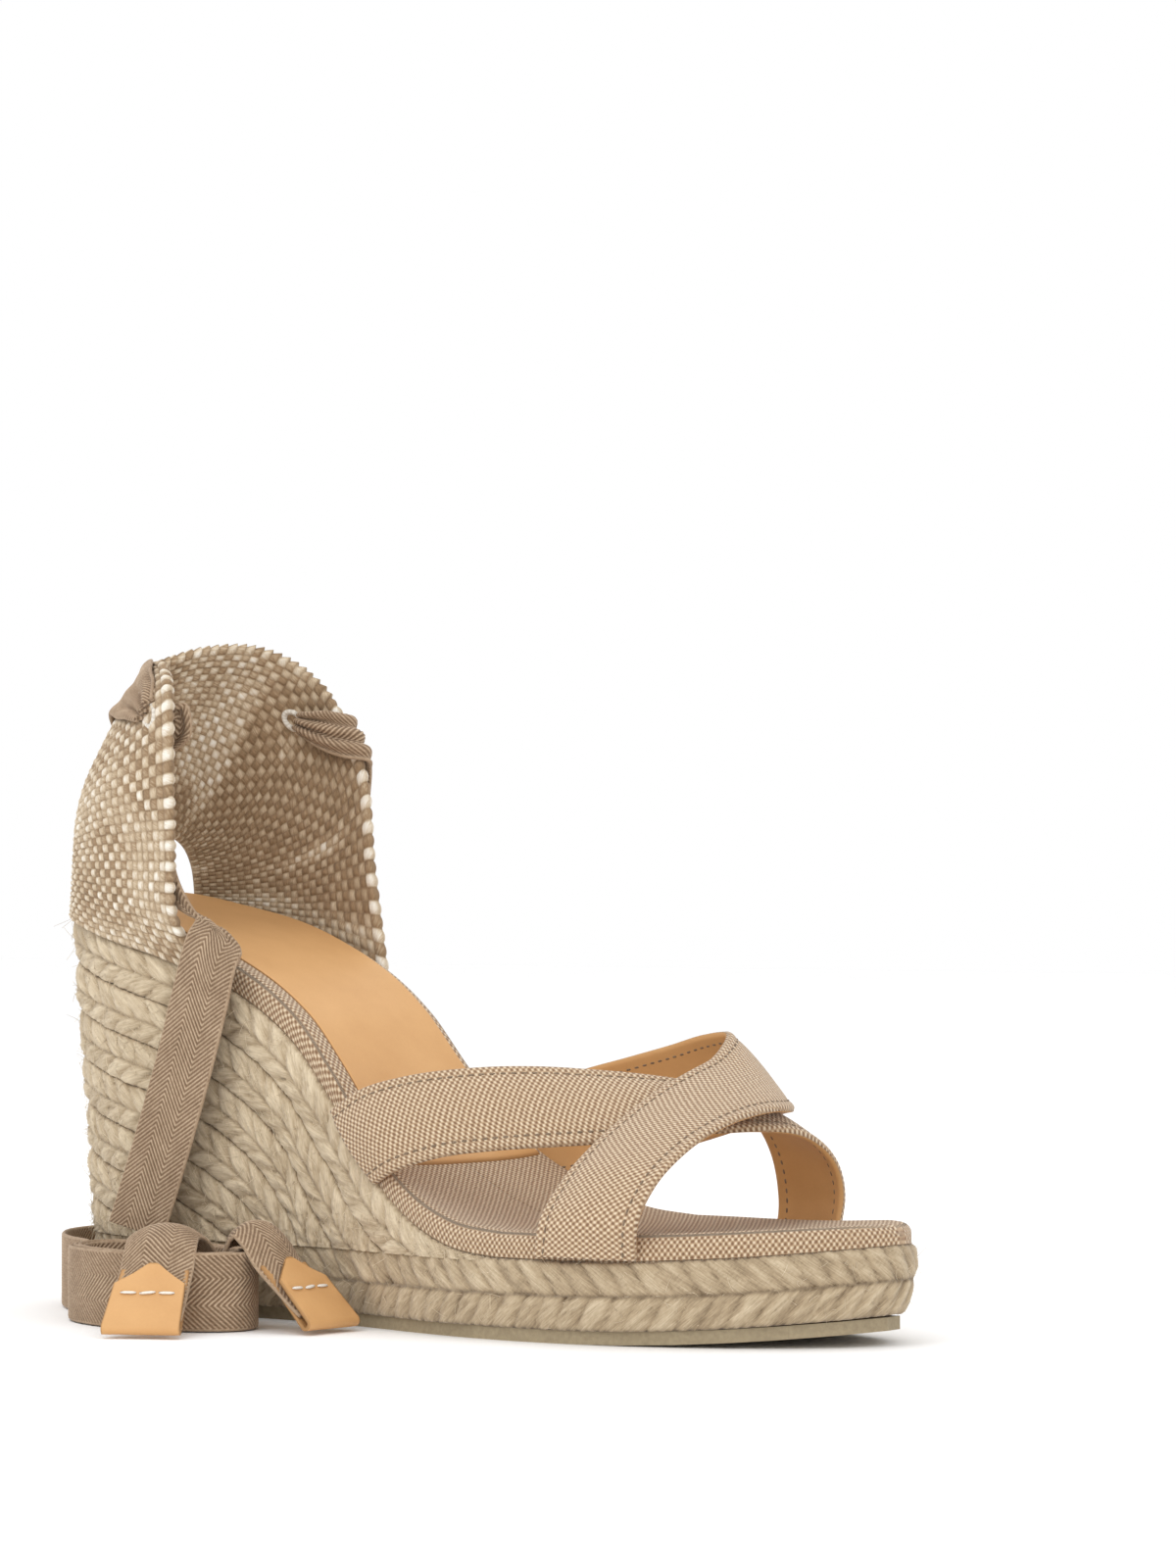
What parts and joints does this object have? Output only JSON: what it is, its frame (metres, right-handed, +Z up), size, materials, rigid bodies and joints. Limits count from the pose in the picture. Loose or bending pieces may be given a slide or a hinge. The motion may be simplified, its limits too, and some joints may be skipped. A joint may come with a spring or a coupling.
{
  "type": "wedge sandal",
  "caption": "Espadrille wedge sandal with crossed canvas straps, a woven heel counter and a long ankle ribbon rolled up beside it.",
  "frame": {"origin": "on the ground under the middle of the sole's length, on the shoe's long centre line", "axes": "+X to the toe, +Y to the inner side of the foot, +Z up"},
  "size_m": [0.2353, 0.1311, 0.1593],
  "materials": {
    "outsole_rubber": "matte",
    "jute": "rough",
    "wedge_core": "matte",
    "board": "matte",
    "foam": "matte",
    "footbed_canvas": "rough",
    "strap_canvas": "rough",
    "heel_weave": "rough",
    "ribbon": "rough",
    "tan_leather": "satin",
    "white_thread": "matte"
  },
  "bodies": {
    "sandal": {"rubber_outsole": "outsole_rubber", "platform_braid": "jute", "platform_coil": "jute", "wedge_core": "wedge_core", "insole_board": "board", "footbed_foam": "foam", "footbed_cover": "footbed_canvas", "leather_sock": "tan_leather", "lower_strap_canvas": "strap_canvas", "lower_strap_lining": "tan_leather", "upper_strap_canvas": "strap_canvas", "upper_strap_lining": "tan_leather", "heel_counter": "heel_weave", "outer_eyelet": "white_thread", "inner_eyelet": "white_thread", "heel_ribbon": "ribbon", "outer_inside_run": "ribbon", "inner_side_fold": "ribbon", "floor_ribbon_run": "ribbon", "wedge_braid_1": "jute", "wedge_braid_2": "jute", "wedge_braid_3": "jute", "wedge_braid_4": "jute", "wedge_braid_5": "jute", "wedge_braid_6": "jute", "wedge_braid_7": "jute"},
    "ankle_tie": {"outer_hanging_ribbon": "ribbon", "ribbon_roll": "ribbon"},
    "front_tail": {"front_ribbon_tail": "ribbon", "front_leather_tip": "tan_leather", "front_tip_stitches": "white_thread"},
    "side_tail": {"side_ribbon_tail": "ribbon", "side_leather_tip": "tan_leather", "side_tip_stitches": "white_thread"}
  },
  "joints": [
    {"name": "tie_swing", "type": "hinge", "parent": "sandal", "child": "ankle_tie", "pos_m": [-0.055, -0.0358, 0.0886], "axis": [-1, 0, 0], "range_deg": [0, 45]},
    {"name": "front_tail_lift", "type": "hinge", "parent": "ankle_tie", "child": "front_tail", "pos_m": [-0.0445, -0.0526, 0.0175], "axis": [-0.8707, -0.4918, 0], "range_deg": [0, 40]},
    {"name": "side_tail_lift", "type": "hinge", "parent": "ankle_tie", "child": "side_tail", "pos_m": [-0.035, -0.0472, 0.0186], "axis": [0, -1, 0], "range_deg": [0, 40]}
  ]
}
